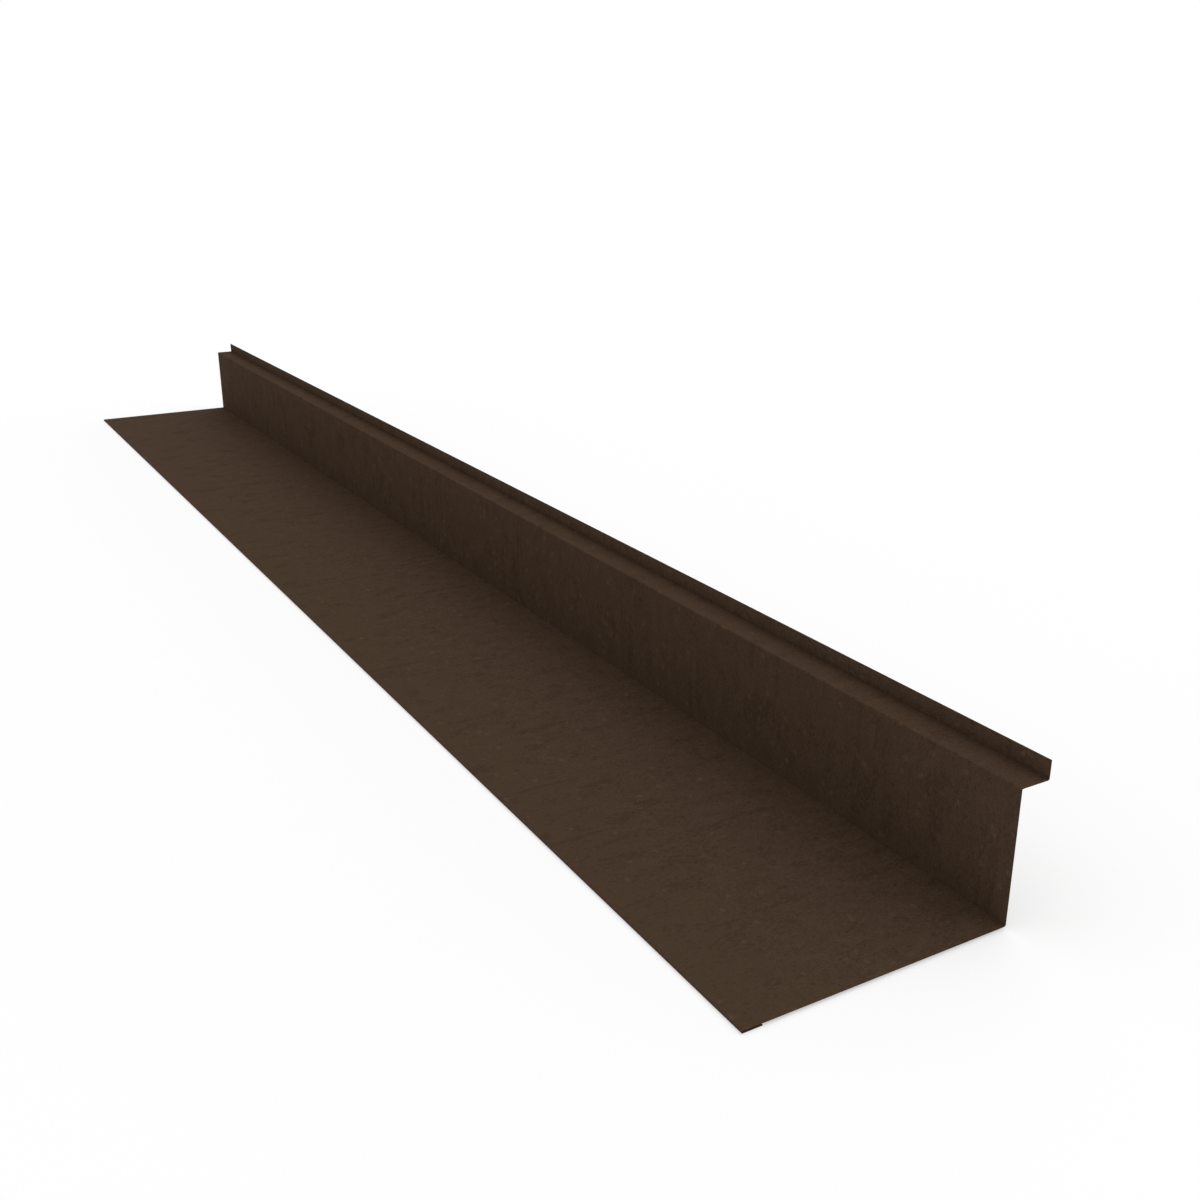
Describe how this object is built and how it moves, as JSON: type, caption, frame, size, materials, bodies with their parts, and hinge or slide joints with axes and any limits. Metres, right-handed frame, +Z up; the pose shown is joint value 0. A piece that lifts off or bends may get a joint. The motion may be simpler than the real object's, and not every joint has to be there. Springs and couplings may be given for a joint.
{
  "type": "sidewall flashing",
  "caption": "Folded sheet-metal sidewall flashing: wide roof flange with an open hem, upright wall leg, short ledge and upturned lip.",
  "frame": {"origin": "under the middle of the length and width, level with the underside of the hem", "axes": "+X from the roof side to the wall side, +Y along the length away from the end nearest the camera in the picture, +Z up"},
  "size_m": [0.246, 2, 0.1216],
  "materials": {
    "bronze_paint": "matte"
  },
  "bodies": {
    "root": {"flashing_sheet": "bronze_paint"}
  },
  "joints": []
}
